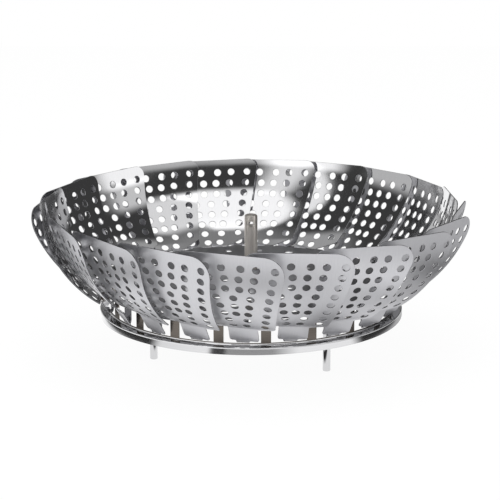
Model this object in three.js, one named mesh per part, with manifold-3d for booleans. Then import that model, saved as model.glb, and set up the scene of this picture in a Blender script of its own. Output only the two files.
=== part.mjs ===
// Folding steamer basket of stainless steel, in millimetres, +Z up.
// The origin is on the floor, under the middle of the basket.
// Twenty sheet leaves hang on one wire ring round a pan with windows, and overlap like a fan.
import * as THREE from 'three';
import { mergeVertices } from 'three/addons/utils/BufferGeometryUtils.js';
import Module from 'manifold-3d';

const wasm = await Module();
wasm.setup();

// Whole basket
const leafCount = 20;
const firstLeafDegrees = -93.34;
const seatGap = 0.3;
const cutOverrun = 2;

// Base pan: an upturned shallow pan, pressed from one sheet
const panRadius = 70;
const panSheet = 0.6;
const panHeight = 15;
const bandHeight = 3.4;
const ledgeWidth = 3.6;
const windowPost = 4.4;
const slotDepth = 2.4;
const panSides = 40;

// Round holes, cut with few sides and as wide as the round hole in area
const holeSides = 4;
const plateHoleRadius = 2.25;
const plateHolePitch = 18;
const plateRingPitch = 11;
const leafHoleRadius = 1.75;

// Hinge ring: the wire that every leaf hooks onto
const wireRadius = 0.8;
const hingeHeight = 13;
const wireSides = 6;

// Leaf blade: bent along its length, flat across, between its crease and its rim
const leafSheet = 0.5;
const creaseOutset = 3.7;
const creaseHeight = 13;
const leafReach = 24.6;
const leafRise = 38.5;
const bladeBulge = 4.6;
const creaseWidth = 30;
const rimWidth = 50;
const outerCornerRadius = 8.5;
const innerCornerRadius = 4.5;
const cornerSteps = 3;

// Leaf rows: the sheet is bent after every second row of holes, whose outer columns follow the side edges
const rowCount = 8;
const rowsPerFlat = 2;
const rimToFirstRow = 6.3;
const lastRowToCrease = 2.95;
const edgeToFirstColumn = 4.6;
const columnPitch = 8.1;
const columnsPerEdge = 2;
const middlePitch = 6.6;

// Leaf flange: the flap under the crease, which slants in between two posts of the pan
const flangeOuterHalf = 7.2;
const flangeCoveredHalf = 6;
const flangeRootDrop = 0.9;
const creaseCoveredHalf = 6;

// Leaf twist and lap: each leaf lies outside the next one on its left, seen from outside
const lapClearance = 2.4;
const twistAxisDegrees = 79;
const hingeSkew = 0.17;

// Leaf hook: the narrow tongue that goes in through the window and round the wire
const hookWidth = 5.7;
const hookSheet = 0.5;
const hookClearance = 1;
const heelHeight = 1.5;
const heelRise = 0.9;
const heelWidth = 1.4;
const hookLap = 1.7;
const curlStartDegrees = 180;
const curlEndDegrees = 60;
const curlSteps = 3;

// Centre post, with a threaded stud that the nut draws up under the plate
const postRadius = 3;
const postTop = 46.1;
const postChamfer = 0.6;
const studRadius = 2;
const studTail = 1;
const eyeRadius = 1.3;
const eyeDrop = 4;
const postSides = 16;
const washerRadius = 5.5;
const washerSheet = 0.8;
const nutAcrossFlats = 7;
const nutHeight = 3.2;

// Legs, which fold up under the plate
const legCount = 3;
const firstLegDegrees = -43.04;
const legInset = 19.6;
const legRadius = 1.75;
const legLength = 30.6;
const footChamfer = 0.4;
const legTopMargin = 1.6;
const legSides = 12;

// Leg bracket: a riveted channel with two ears
const bracketSheet = 0.8;
const pinDrop = 3.3;
const bracketLength = 9;
const earRadius = 2.2;
const earSteps = 6;
const pinRadius = 0.8;
const pinHeadRadius = 1.5;
const pinHeadHeight = 0.6;
const pinSides = 8;
const rivetRadius = 1;
const rivetHeadHeight = 0.6;

// Finishes
const brushedSteel = { color: 0xb7b7ba, roughness: 0.32, metalness: 1 };
const polishedSteel = { color: 0xd0d0d2, roughness: 0.12, metalness: 1 };
const wireSteel = { color: 0xa9a9ac, roughness: 0.25, metalness: 1 };
const blankSteel = { color: 0x9c9ca0, roughness: 0.4, metalness: 1 };

// Places that follow from the sizes, with heights from the band's lower edge
const pitch = 2 * Math.PI / leafCount;
const plateTop = panHeight;
const plateUnderside = panHeight - panSheet;
const riserRadius = panRadius - ledgeWidth;
const ledgeTop = bandHeight;
const hingeRadius = riserRadius + seatGap + wireRadius;
const curlRadius = wireRadius + hookClearance + hookSheet / 2;
const hookBackRadius = hingeRadius - curlRadius;
const heelLevel = ledgeTop + heelHeight;
const flangeFootRadius = hookBackRadius + heelWidth;
const flangeFootLevel = heelLevel + heelRise;
const creaseRadius = hingeRadius + creaseOutset;
const rimRadius = creaseRadius + leafReach;
const legCircle = riserRadius - legInset;
const bracketTop = plateUnderside - seatGap;
const bracketUnderside = bracketTop - bracketSheet;
const pinHeight = bracketUnderside - pinDrop;
const legTop = pinHeight + legTopMargin;
const floorLevel = legTop - legLength;

function radians(degrees) {
  return THREE.MathUtils.degToRad(degrees);
}

// A closed geometry as a solid, once its shared vertices are merged
function solidFrom(geometry) {
  geometry.deleteAttribute('normal');
  geometry.deleteAttribute('uv');
  const merged = mergeVertices(geometry);
  return new wasm.Manifold(new wasm.Mesh({
    numProp: 3,
    vertProperties: new Float32Array(merged.attributes.position.array),
    triVerts: new Uint32Array(merged.index.array),
  }));
}

function geometryFrom(solid) {
  const mesh = solid.getMesh();
  const geometry = new THREE.BufferGeometry();
  geometry.setAttribute('position', new THREE.BufferAttribute(mesh.vertProperties, mesh.numProp));
  geometry.setIndex(new THREE.BufferAttribute(mesh.triVerts, 1));
  geometry.computeVertexNormals();
  return geometry;
}

// A profile of [radius, height] pairs turned about the z axis
function turned(profile, sides) {
  const points = profile.map(([radius, height]) => new THREE.Vector2(radius, height));
  return solidFrom(new THREE.LatheGeometry(points, sides).rotateX(Math.PI / 2));
}

function closedProfile(profile) {
  return [...profile, profile[0]];
}

// An upright prism of a flat outline
function prism(outline, low, high) {
  const settings = { depth: high - low, bevelEnabled: false, curveSegments: earSteps };
  return solidFrom(new THREE.ExtrudeGeometry(outline, settings).translate(0, 0, low));
}

// A regular outline, with its corners at the radius
function regularOutline(radius, sides) {
  const points = Array.from({ length: sides }, (_, i) => {
    const angle = 2 * Math.PI * i / sides;
    return new THREE.Vector2(radius * Math.cos(angle), radius * Math.sin(angle));
  });
  return new THREE.Shape(points);
}

// A round hole's outline, with the round hole's area
function holeOutline(radius) {
  const turn = 2 * Math.PI / holeSides;
  return regularOutline(radius * Math.sqrt(turn / Math.sin(turn)), holeSides);
}

function box(low, high) {
  const size = new THREE.Vector3().subVectors(high, low);
  const middle = new THREE.Vector3().addVectors(low, high).multiplyScalar(1 / 2);
  return solidFrom(new THREE.BoxGeometry(size.x, size.y, size.z).translate(middle.x, middle.y, middle.z));
}

// A rod along y, for holes through the ears, the legs and the post
function crossRod(radius, halfLength, height, sides) {
  const rod = new THREE.CylinderGeometry(radius, radius, 2 * halfLength, sides);
  return solidFrom(rod.translate(0, 0, height));
}

function moved(solid, matrix) {
  return solid.transform(matrix.toArray());
}

function turnedAboutZ(solid, angle) {
  return moved(solid, new THREE.Matrix4().makeRotationZ(angle));
}

// The outward side of a sheet whose mid-line runs along a step in the x-z plane
function outwardOf(step) {
  return new THREE.Vector3(step.z, 0, -step.x);
}

// A bent sheet, lofted through rows: a point of its mid-line and its two edges there
function bentSheet(rows, thickness, across) {
  const steps = rows.slice(1).map((row, i) => row.point.clone().sub(rows[i].point).normalize());
  const corners = rows.flatMap((row, i) => {
    const before = outwardOf(steps[Math.max(i - 1, 0)]);
    const after = outwardOf(steps[Math.min(i, steps.length - 1)]);
    const mitre = before.clone().add(after).normalize();
    const reach = thickness / 2 / mitre.dot(before);
    const section = [[row.low, reach], [row.high, reach], [row.high, -reach], [row.low, -reach]];
    return section.map(([edge, off]) => (
      row.point.clone().addScaledVector(across, edge).addScaledVector(mitre, off)));
  });
  const sides = 4;
  const faces = [];
  for (let row = 0; row < steps.length; row += 1) {
    for (let side = 0; side < sides; side += 1) {
      const next = (side + 1) % sides;
      const [a, b] = [row * sides + side, row * sides + next];
      faces.push(a, b, a + sides, b, b + sides, a + sides);
    }
  }
  const last = steps.length * sides;
  faces.push(0, 2, 1, 0, 3, 2);
  faces.push(last, last + 1, last + 2, last, last + 2, last + 3);
  const geometry = new THREE.BufferGeometry();
  geometry.setFromPoints(corners);
  geometry.setIndex(faces);
  return solidFrom(geometry);
}

function cutAll(solid, cutters) {
  return cutters.reduce((rest, cutter) => rest.subtract(cutter), solid);
}

// Base pan
function plateHolePlaces() {
  const places = [];
  const ringCount = Math.floor((riserRadius - slotDepth - 2 * plateHoleRadius) / plateRingPitch);
  for (let ring = 1; ring <= ringCount; ring += 1) {
    const radius = ring * plateRingPitch;
    const count = Math.round(2 * Math.PI * radius / plateHolePitch);
    for (let i = 0; i < count; i += 1) {
      const angle = 2 * Math.PI * (i + ring / 2) / count;
      places.push(new THREE.Vector2(radius * Math.cos(angle), radius * Math.sin(angle)));
    }
  }
  return places;
}

function legAngles() {
  const turn = 2 * Math.PI / legCount;
  return Array.from({ length: legCount }, (_, i) => radians(firstLegDegrees) + i * turn);
}

function basePan() {
  const bandInner = panRadius - panSheet;
  const riserInner = riserRadius - panSheet;
  const shell = turned(closedProfile([
    [studRadius + seatGap, plateUnderside],
    [riserInner, plateUnderside],
    [riserInner, ledgeTop - panSheet],
    [bandInner, ledgeTop - panSheet],
    [bandInner, 0],
    [panRadius, 0],
    [panRadius, ledgeTop],
    [riserRadius, ledgeTop],
    [riserRadius, plateTop],
    [studRadius + seatGap, plateTop],
  ]), panSides);

  const windowHalf = riserRadius * Math.sin(pitch / 2) - windowPost / 2;
  const window = box(
    new THREE.Vector3(riserRadius - slotDepth, -windowHalf, ledgeTop),
    new THREE.Vector3(riserRadius + cutOverrun, windowHalf, plateTop + cutOverrun),
  );
  const windows = Array.from({ length: leafCount }, (_, i) => (
    turnedAboutZ(window, radians(firstLeafDegrees) + i * pitch)));

  const legPlaces = legAngles().map((angle) => (
    new THREE.Vector2(legCircle * Math.cos(angle), legCircle * Math.sin(angle))));
  const rivetHole = regularOutline(rivetRadius + seatGap, pinSides);
  const hole = holeOutline(plateHoleRadius);
  const [below, above] = [plateUnderside - cutOverrun, plateTop + cutOverrun];
  const bored = (outline, place) => (
    moved(prism(outline, below, above), new THREE.Matrix4().makeTranslation(place.x, place.y, 0)));
  const clearOfLegs = (place) => (
    legPlaces.every((leg) => leg.distanceTo(place) > bracketLength / 2 + plateHoleRadius + seatGap));
  const holes = plateHolePlaces().filter(clearOfLegs).map((place) => bored(hole, place));
  const rivetHoles = legPlaces.map((place) => bored(rivetHole, place));
  return cutAll(shell, [...windows, ...holes, ...rivetHoles]);
}

// Hinge ring
function hingeRing() {
  const wire = new THREE.TorusGeometry(hingeRadius, wireRadius, wireSides, panSides);
  return solidFrom(wire.translate(0, 0, hingeHeight));
}

// Leaf, in its own frame: x outwards, y anticlockwise, z up from the band's lower edge
const crease = new THREE.Vector3(creaseRadius, 0, creaseHeight);
const rim = new THREE.Vector3(rimRadius, 0, creaseHeight + leafRise);
const flangeFoot = new THREE.Vector3(flangeFootRadius, 0, flangeFootLevel);
const bladeChord = crease.distanceTo(rim);
const bladeSlope = Math.atan2(rim.z - crease.z, rim.x - crease.x);
const bladeHalfArc = 2 * Math.atan(2 * bladeBulge / bladeChord);
const bladeRadius = bladeChord / 2 / Math.sin(bladeHalfArc);
const bladeLength = 2 * bladeHalfArc * bladeRadius;
const rowPitch = (bladeLength - rimToFirstRow - lastRowToCrease) / (rowCount - 1);

// A point of the blade's mid-line, at a length along it from the crease
function bladePoint(length) {
  const start = bladeSlope - bladeHalfArc;
  const angle = start + length / bladeRadius;
  const outward = bladeRadius * (Math.sin(angle) - Math.sin(start));
  const upward = bladeRadius * (Math.cos(start) - Math.cos(angle));
  return new THREE.Vector3(crease.x + outward, 0, crease.z + upward);
}

function bladeHalfWidth(length) {
  return THREE.MathUtils.lerp(creaseWidth, rimWidth, length / bladeLength) / 2;
}

// How far a rounded corner draws an edge in, at a length from the crease
function cornerDraw(length, radius) {
  const into = Math.max(0, length - (bladeLength - radius));
  return radius - Math.sqrt(Math.max(0, radius * radius - into * into));
}

// The blade is flat between its bends, which lie midway between two rows of holes
const rowLengths = Array.from({ length: rowCount }, (_, i) => bladeLength - rimToFirstRow - i * rowPitch);
const bendLengths = rowLengths.slice(1).filter((_, i) => i % rowsPerFlat === 0)
  .map((length) => length + rowPitch / 2).reverse();

// The flat strip at a length from the crease: the mid-line's point there and its direction
function stripAt(length) {
  const marks = [0, ...bendLengths, bladeLength];
  const end = Math.max(1, marks.findIndex((mark) => mark >= length));
  const [from, to] = [bladePoint(marks[end - 1]), bladePoint(marks[end])];
  const share = (length - marks[end - 1]) / (marks[end] - marks[end - 1]);
  return { point: from.clone().lerp(to, share), step: to.sub(from).normalize() };
}

function bladeRows() {
  const bends = bendLengths.map((length) => (
    { point: bladePoint(length), low: -bladeHalfWidth(length), high: bladeHalfWidth(length) }));
  const corners = Array.from({ length: cornerSteps + 1 }, (_, step) => {
    const turn = Math.PI / 2 * step / cornerSteps;
    const length = bladeLength - outerCornerRadius * (1 - Math.sin(turn));
    return {
      point: stripAt(length).point,
      low: cornerDraw(length, innerCornerRadius) - bladeHalfWidth(length),
      high: bladeHalfWidth(length) - cornerDraw(length, outerCornerRadius),
    };
  });
  return [...bends, ...corners];
}

// The edge that the next leaf covers, drawn in towards the crease below the first bend
function coveredEdge(length) {
  const share = Math.min(1, length / bendLengths[0]);
  return -THREE.MathUtils.lerp(creaseCoveredHalf, bladeHalfWidth(length), share);
}

// Where a row's holes lie across it: the columns along both edges, and even spaces between them
function holePlaces(length) {
  const outer = bladeHalfWidth(length) - edgeToFirstColumn;
  const inner = outer - (columnsPerEdge - 1) * columnPitch;
  const spaces = Math.max(1, Math.round(2 * inner / middlePitch));
  const edge = Array.from({ length: columnsPerEdge }, (_, column) => outer - column * columnPitch);
  const middle = Array.from({ length: spaces - 1 }, (_, i) => inner - 2 * inner * (i + 1) / spaces);
  return [...edge, ...middle, ...edge.map((place) => -place)];
}

function leafHoles() {
  const across = new THREE.Vector3(0, 1, 0);
  const cutter = prism(holeOutline(leafHoleRadius), -cutOverrun, cutOverrun);
  const holes = [];
  rowLengths.forEach((length) => {
    const strip = stripAt(length);
    const square = new THREE.Matrix4().makeBasis(across, strip.step, outwardOf(strip.step));
    holePlaces(length).filter((place) => place - leafHoleRadius > coveredEdge(length)).forEach((place) => {
      const centre = strip.point.clone().addScaledVector(across, place);
      holes.push(moved(cutter, square.clone().setPosition(centre)));
    });
  });
  return holes;
}

// The twist that a leaf needs to pass inside its neighbour at a radius, with the lap's clearance
function lapTwist(halfWidth, radius) {
  return halfWidth / radius - pitch / 2 + lapClearance / (radius * pitch);
}

function leafBlade() {
  const flangeRoot = crease.clone().lerp(flangeFoot, flangeRootDrop / (crease.z - flangeFoot.z));
  const whole = bentSheet([
    { point: flangeFoot, low: -flangeCoveredHalf, high: flangeOuterHalf },
    { point: flangeRoot, low: -flangeCoveredHalf, high: flangeOuterHalf },
    { point: crease, low: -creaseCoveredHalf, high: creaseWidth / 2 },
    ...bladeRows(),
  ], leafSheet, new THREE.Vector3(0, 1, 0));
  const sheet = cutAll(whole, leafHoles());
  const twist = Math.max(lapTwist(rimWidth / 2, rimRadius), lapTwist(creaseWidth / 2, creaseRadius));
  const tilt = radians(twistAxisDegrees);
  const axis = new THREE.Vector3(Math.cos(tilt), 0, Math.sin(tilt));
  const twisted = new THREE.Matrix4().makeTranslation(crease.x, 0, crease.z)
    .multiply(new THREE.Matrix4().makeRotationAxis(axis, -twist))
    .multiply(new THREE.Matrix4().makeTranslation(-crease.x, 0, -crease.z));
  return moved(sheet, twisted);
}

function leafHook() {
  const lap = flangeFoot.clone().lerp(crease, hookLap / (crease.z - flangeFoot.z));
  const path = [
    [lap.x, lap.z],
    [flangeFoot.x, flangeFoot.z],
    [(flangeFoot.x + hookBackRadius) / 2, heelLevel],
    [hookBackRadius, heelLevel + heelRise],
  ];
  for (let step = 0; step <= curlSteps; step += 1) {
    const angle = radians(THREE.MathUtils.lerp(curlStartDegrees, curlEndDegrees, step / curlSteps));
    path.push([hingeRadius + curlRadius * Math.cos(angle), hingeHeight + curlRadius * Math.sin(angle)]);
  }
  const rows = path.map(([x, z]) => (
    { point: new THREE.Vector3(x, 0, z), low: -hookWidth / 2, high: hookWidth / 2 }));
  return bentSheet(rows, hookSheet, new THREE.Vector3(0, 1, hingeSkew).normalize());
}

// Centre post, washer and nut
function centrePost() {
  const washerUnderside = plateUnderside - seatGap - washerSheet;
  const studFoot = washerUnderside - seatGap - nutHeight - studTail;
  const body = turned([
    [0, studFoot],
    [studRadius, studFoot],
    [studRadius, plateTop + seatGap],
    [postRadius, plateTop + seatGap],
    [postRadius, postTop - postChamfer],
    [postRadius - postChamfer, postTop],
    [0, postTop],
  ], postSides);
  return body.subtract(crossRod(eyeRadius, postRadius + cutOverrun, postTop - eyeDrop, postSides));
}

function postWasher() {
  const top = plateUnderside - seatGap;
  return turned(closedProfile([
    [studRadius + seatGap, top - washerSheet],
    [washerRadius, top - washerSheet],
    [washerRadius, top],
    [studRadius + seatGap, top],
  ]), postSides);
}

function postNut() {
  const hexSides = 6;
  const outline = regularOutline(nutAcrossFlats / 2 / Math.cos(Math.PI / hexSides), hexSides);
  outline.holes.push(new THREE.Path(regularOutline(studRadius + seatGap, postSides).getPoints()));
  const top = plateUnderside - seatGap - washerSheet - seatGap;
  return prism(outline, top - nutHeight, top);
}

// Leg bracket, in the leg's frame: x outwards along the plate, y along the pin
const earInner = legRadius + seatGap;
const earOuter = earInner + bracketSheet;
const rivetHeadRadius = earInner - seatGap;

function legBracket() {
  const web = box(
    new THREE.Vector3(-bracketLength / 2, -earOuter, bracketUnderside),
    new THREE.Vector3(bracketLength / 2, earOuter, bracketTop),
  );
  const outline = new THREE.Shape();
  outline.moveTo(bracketLength / 2, bracketTop);
  outline.lineTo(-bracketLength / 2, bracketTop);
  outline.lineTo(-earRadius, pinHeight);
  outline.absarc(0, pinHeight, earRadius, Math.PI, 2 * Math.PI, false);
  const upright = new THREE.Matrix4().makeRotationX(Math.PI / 2);
  const cheeks = moved(prism(outline, -earOuter, earOuter), upright);
  const channel = box(
    new THREE.Vector3(-bracketLength, -earInner, pinHeight - earRadius - cutOverrun),
    new THREE.Vector3(bracketLength, earInner, bracketUnderside),
  );
  return cutAll(cheeks.add(web), [
    channel,
    crossRod(pinRadius + seatGap, earOuter + cutOverrun, pinHeight, pinSides),
    turned([
      [0, bracketUnderside - cutOverrun],
      [rivetRadius + seatGap, bracketUnderside - cutOverrun],
      [rivetRadius + seatGap, bracketTop + cutOverrun],
      [0, bracketTop + cutOverrun],
    ], pinSides),
  ]);
}

// A headed pin along z between two heights, with a head beyond each
function headedPin(radius, headRadius, headHeight, low, high, sides) {
  return turned([
    [0, low - headHeight],
    [headRadius, low - headHeight],
    [headRadius, low],
    [radius, low],
    [radius, high],
    [headRadius, high],
    [headRadius, high + headHeight],
    [0, high + headHeight],
  ], sides);
}

function legPin() {
  const end = earOuter + seatGap;
  const pin = headedPin(pinRadius, pinHeadRadius, pinHeadHeight, -end, end, pinSides);
  const lying = new THREE.Matrix4().makeTranslation(0, 0, pinHeight)
    .multiply(new THREE.Matrix4().makeRotationX(Math.PI / 2));
  return moved(pin, lying);
}

function bracketRivet() {
  const [low, high] = [bracketUnderside - seatGap, plateTop + seatGap];
  return headedPin(rivetRadius, rivetHeadRadius, rivetHeadHeight, low, high, pinSides);
}

function leg() {
  const rod = turned([
    [0, floorLevel],
    [legRadius - footChamfer, floorLevel],
    [legRadius, floorLevel + footChamfer],
    [legRadius, legTop - footChamfer],
    [legRadius - footChamfer, legTop],
    [0, legTop],
  ], legSides);
  return rod.subtract(crossRod(pinRadius + seatGap, legRadius + cutOverrun, pinHeight, pinSides));
}

// The basket stands on its legs, so everything is lifted by their reach below the band
const basket = new THREE.Group();
const lifted = new THREE.Group();
lifted.position.z = -floorLevel;
basket.add(lifted);

function addPiece(name, geometry, finish, parent) {
  const piece = new THREE.Mesh(geometry, new THREE.MeshStandardMaterial({ ...finish, flatShading: true }));
  piece.name = name;
  parent.add(piece);
}

addPiece('base_pan', geometryFrom(basePan()), polishedSteel, lifted);
addPiece('hinge_ring', geometryFrom(hingeRing()), wireSteel, lifted);

const leafGeometry = geometryFrom(leafBlade().add(leafHook()));
for (let i = 0; i < leafCount; i += 1) {
  const place = new THREE.Group();
  place.rotation.z = radians(firstLeafDegrees) + i * pitch;
  lifted.add(place);
  addPiece(`leaf_${String(i + 1).padStart(2, '0')}`, leafGeometry, brushedSteel, place);
}

addPiece('centre_post', geometryFrom(centrePost()), polishedSteel, lifted);
addPiece('post_washer', geometryFrom(postWasher()), blankSteel, lifted);
addPiece('post_nut', geometryFrom(postNut()), blankSteel, lifted);

const legPieces = [
  ['leg_bracket', geometryFrom(legBracket()), blankSteel],
  ['leg_pin', geometryFrom(legPin()), wireSteel],
  ['bracket_rivet', geometryFrom(bracketRivet()), wireSteel],
  ['leg', geometryFrom(leg()), polishedSteel],
];
legAngles().forEach((angle, i) => {
  const place = new THREE.Group();
  place.rotation.z = angle;
  lifted.add(place);
  const stance = new THREE.Group();
  stance.position.x = legCircle;
  place.add(stance);
  legPieces.forEach(([name, geometry, finish]) => {
    addPiece(`${name}_${i + 1}`, geometry, finish, stance);
  });
});

export default basket;
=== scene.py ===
# %% [markdown]
# # A folding steamer basket in stainless steel
# The basket is a shallow pan with windows in its side, a wire ring round that side, and twenty thin leaves
# that hook through the windows onto the wire. This lesson makes each piece as its maker would: sheet is cut
# flat, punched and then bent, and round things are turned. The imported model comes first, because it says
# where every piece is and what it moves with.

# %% Load the frame
import bisect
import math

import bmesh
import bpy
from mathutils import Matrix, Vector


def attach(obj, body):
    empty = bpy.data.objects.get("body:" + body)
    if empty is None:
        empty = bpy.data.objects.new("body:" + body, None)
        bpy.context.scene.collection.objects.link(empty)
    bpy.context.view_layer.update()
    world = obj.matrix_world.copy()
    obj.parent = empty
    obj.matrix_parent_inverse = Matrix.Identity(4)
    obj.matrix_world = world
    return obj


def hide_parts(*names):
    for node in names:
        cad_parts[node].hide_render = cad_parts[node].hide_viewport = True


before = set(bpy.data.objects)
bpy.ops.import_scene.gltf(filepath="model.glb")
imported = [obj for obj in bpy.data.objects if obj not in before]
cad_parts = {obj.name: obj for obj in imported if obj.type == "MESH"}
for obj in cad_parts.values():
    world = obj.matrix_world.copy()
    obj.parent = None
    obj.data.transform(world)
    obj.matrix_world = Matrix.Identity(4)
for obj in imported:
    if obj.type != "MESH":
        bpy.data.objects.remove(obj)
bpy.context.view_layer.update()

# %% [markdown]
# ## Sizes
# Sheet metal work is measured in millimetres, so every length here is in millimetres, and each finished
# mesh is made a thousand times smaller at the end, because Blender's unit is the metre. Heights are
# measured from the lower edge of the pan's band, and the legs lift everything above the floor.

# %% The sizes that the pieces share
METRES = 0.001
LEAF_COUNT = 20
PITCH = 2 * math.pi / LEAF_COUNT
FIRST_LEAF = math.radians(-93.34)
LEG_COUNT = 3
FIRST_LEG = math.radians(-43.04)
SEAT_GAP = 0.3

PAN_RADIUS, PAN_HEIGHT, PAN_SHEET = 70.0, 15.0, 0.6
BAND_HEIGHT, RISER_RADIUS = 3.4, 66.4
WINDOW_POST, SLOT_DEPTH = 4.4, 2.4
WIRE_RADIUS, HINGE_HEIGHT = 0.8, 13.0
HINGE_RADIUS = RISER_RADIUS + SEAT_GAP + WIRE_RADIUS

LEG_CIRCLE, LEG_RADIUS, LEG_LENGTH = 46.8, 1.75, 30.6
BRACKET_SHEET, PIN_DROP, LEG_TOP_MARGIN = 0.8, 3.3, 1.6
PLATE_UNDERSIDE = PAN_HEIGHT - PAN_SHEET
BRACKET_TOP = PLATE_UNDERSIDE - SEAT_GAP
BRACKET_UNDERSIDE = BRACKET_TOP - BRACKET_SHEET
PIN_HEIGHT = BRACKET_UNDERSIDE - PIN_DROP
LEG_TOP = PIN_HEIGHT + LEG_TOP_MARGIN
FOOT_LEVEL = LEG_TOP - LEG_LENGTH
print("the band hangs", round(-FOOT_LEVEL, 2), "mm above the floor")

# %% [markdown]
# ## Small tools
# A few helpers serve several pieces. One rounds the corners of a bent line, as a press tool does, and three
# measure such a line, so that flat sheet can be laid along it. One turns a line about the upright axis, as a
# lathe does. The last takes a finished bmesh, sets it in its place in metres, and marks which edges are
# crisp. Each could be written out at every piece, but then a size would stand in several places.

# %% Round the corners of a line
def soften(points, radius, steps=3):
    """Each inner corner of a line becomes a short curve that starts and ends a radius from it."""
    line = [points[0]]
    for before, corner, after in zip(points, points[1:], points[2:]):
        start = corner + (before - corner).normalized() * min(radius, (before - corner).length / 2)
        end = corner + (after - corner).normalized() * min(radius, (after - corner).length / 2)
        for step in range(steps + 1):
            t = step / steps
            line.append(start * (1 - t) ** 2 + corner * 2 * t * (1 - t) + end * t ** 2)
    line.append(points[-1])
    return line


square_corner = [Vector((0, 0)), Vector((1, 0)), Vector((1, 1))]
print("a square corner of 3 points becomes", len(soften(square_corner, 0.2)), "points")


# %% Measure a line, and find the step of it that a length falls in
def lengths_along(line):
    """The length of a line from its start to each of its points."""
    totals = [0.0]
    for before, after in zip(line, line[1:]):
        totals.append(totals[-1] + (after - before).length)
    return totals


def step_at(totals, length):
    """The number of the step that a length falls in, and the share of that step that lies before it."""
    i = min(bisect.bisect_right(totals, length), len(totals) - 1)
    return i, (length - totals[i - 1]) / (totals[i] - totals[i - 1])


def ways_along(line):
    """The way that a line runs at each of its points, midway between the steps before and after."""
    steps = [(after - before).normalized() for before, after in zip(line, line[1:])]
    return [(before + after).normalized() for before, after in zip(steps[:1] + steps, steps + steps[-1:])]


print("1.5 mm along steps of 1 and 2 mm is in step", step_at([0.0, 1.0, 3.0], 1.5))

# %% Draw a line of edges, and turn it about the upright axis
SAME_POINT = 1e-4


def draw_line(bm, points):
    verts = [bm.verts.new(point) for point in points]
    edges = [bm.edges.new(pair) for pair in zip(verts, verts[1:])]
    return verts + edges


def everything(bm):
    return bm.verts[:] + bm.edges[:] + bm.faces[:]


def edges_of(verts):
    """Each edge of these points once, always in the same order."""
    return list(dict.fromkeys(edge for vert in verts for edge in vert.link_edges))


def turn_line(bm, line, steps, angle=2 * math.pi):
    full = math.isclose(angle, 2 * math.pi)
    bmesh.ops.spin(bm, geom=line, cent=(0, 0, 0), axis=(0, 0, 1), dvec=(0, 0, 0), angle=angle, steps=steps,
                   use_merge=full, use_duplicate=False)
    bmesh.ops.remove_doubles(bm, verts=bm.verts, dist=SAME_POINT)


def turned(profile, steps):
    """A solid of revolution from (radius, height) pairs that start and end on the axis or meet themselves."""
    bm = bmesh.new()
    turn_line(bm, draw_line(bm, [Vector((radius, 0, height)) for radius, height in profile]), steps)
    bmesh.ops.dissolve_degenerate(bm, dist=SAME_POINT / 10, edges=bm.edges)
    bmesh.ops.recalc_face_normals(bm, faces=bm.faces)
    return bm


print("points less than", SAME_POINT, "mm apart are made one")

# %% Settle a bmesh as a piece of the basket
CRISP = math.radians(32)


def new_object(name, data):
    made = bpy.data.objects.new(name, data)
    bpy.context.scene.collection.objects.link(made)
    return made


def settle(bm, name, body, nodes, materials, turn=0.0, offset=(0, 0, 0)):
    """The bmesh becomes a named object in metres, which rides its body and stands for its CAD nodes."""
    place = (Matrix.Scale(METRES, 4) @ Matrix.Translation((0, 0, -FOOT_LEVEL))
             @ Matrix.Rotation(turn, 4, "Z") @ Matrix.Translation(offset))
    bmesh.ops.transform(bm, matrix=place, verts=bm.verts)
    mesh = bpy.data.meshes.new(name)
    bm.to_mesh(mesh)
    bm.free()
    mesh.shade_smooth()
    mesh.set_sharp_from_angle(angle=CRISP)
    add_piece(mesh, name, body, nodes, materials)


def add_piece(mesh, name, body, nodes, materials):
    """A finished mesh becomes an object at the origin, with its body and its CAD nodes."""
    for material in materials:
        mesh.materials.append(material)
    piece = new_object(name, mesh)
    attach(piece, body)
    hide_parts(*nodes)


print("edges that turn by more than", round(math.degrees(CRISP)), "degrees stay crisp")

# %% [markdown]
# ## Finishes
# All of the basket is stainless steel of the common 18/8 kind, but for the plating on its rods. What differs
# is mostly how each surface was made: the leaves are rolled bright inside and brushed satin outside, and
# their cut edges are sheared, and painted dark as painted shade; the pan's band is polished, its riser is
# left from the press, half dull and painted dark brownish as painted shade, and its plate is left from the
# rolls; the post is turned and nickel plated, its tan partly a painted reflection, the legs are chromed rod,
# and wire and small blanks are as drawn and as rolled. Steel has no colour of its own besides a faint grey,
# so a finish is mostly its roughness, the direction of its fine lines, and the slight waves of thin sheet,
# which bend what it mirrors.
# It could be painted as a picture of lines, but noise stretched along one axis gives the same lines at any
# distance.

# %% Turn a hex colour to linear light, and add a node
def linear(hex_colour):
    parts = [int(hex_colour[i:i + 2], 16) / 255 for i in (1, 3, 5)]
    return [c / 12.92 if c <= 0.04045 else ((c + 0.055) / 1.055) ** 2.4 for c in parts] + [1.0]


def add_node(tree, kind, inputs=(), **settings):
    """A node with its settings. An input gets a value, or a link from a socket or a node's first socket."""
    node = tree.nodes.new("ShaderNode" + kind)
    for key, value in settings.items():
        setattr(node, key, value)
    for key, value in dict(inputs).items():
        if isinstance(value, bpy.types.Node):
            value = value.outputs[0]
        if isinstance(value, bpy.types.NodeSocket):
            tree.links.new(value, node.inputs[key])
        else:
            node.inputs[key].default_value = value
    return node


def blank_material(name):
    material = bpy.data.materials.new(name)
    material.use_nodes = True
    material.node_tree.nodes.clear()
    return material


print("mid grey in linear light:", round(linear("#808080")[0], 3))

# %% Make one steel finish
HANDLING_MARKS = 55.0


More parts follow.
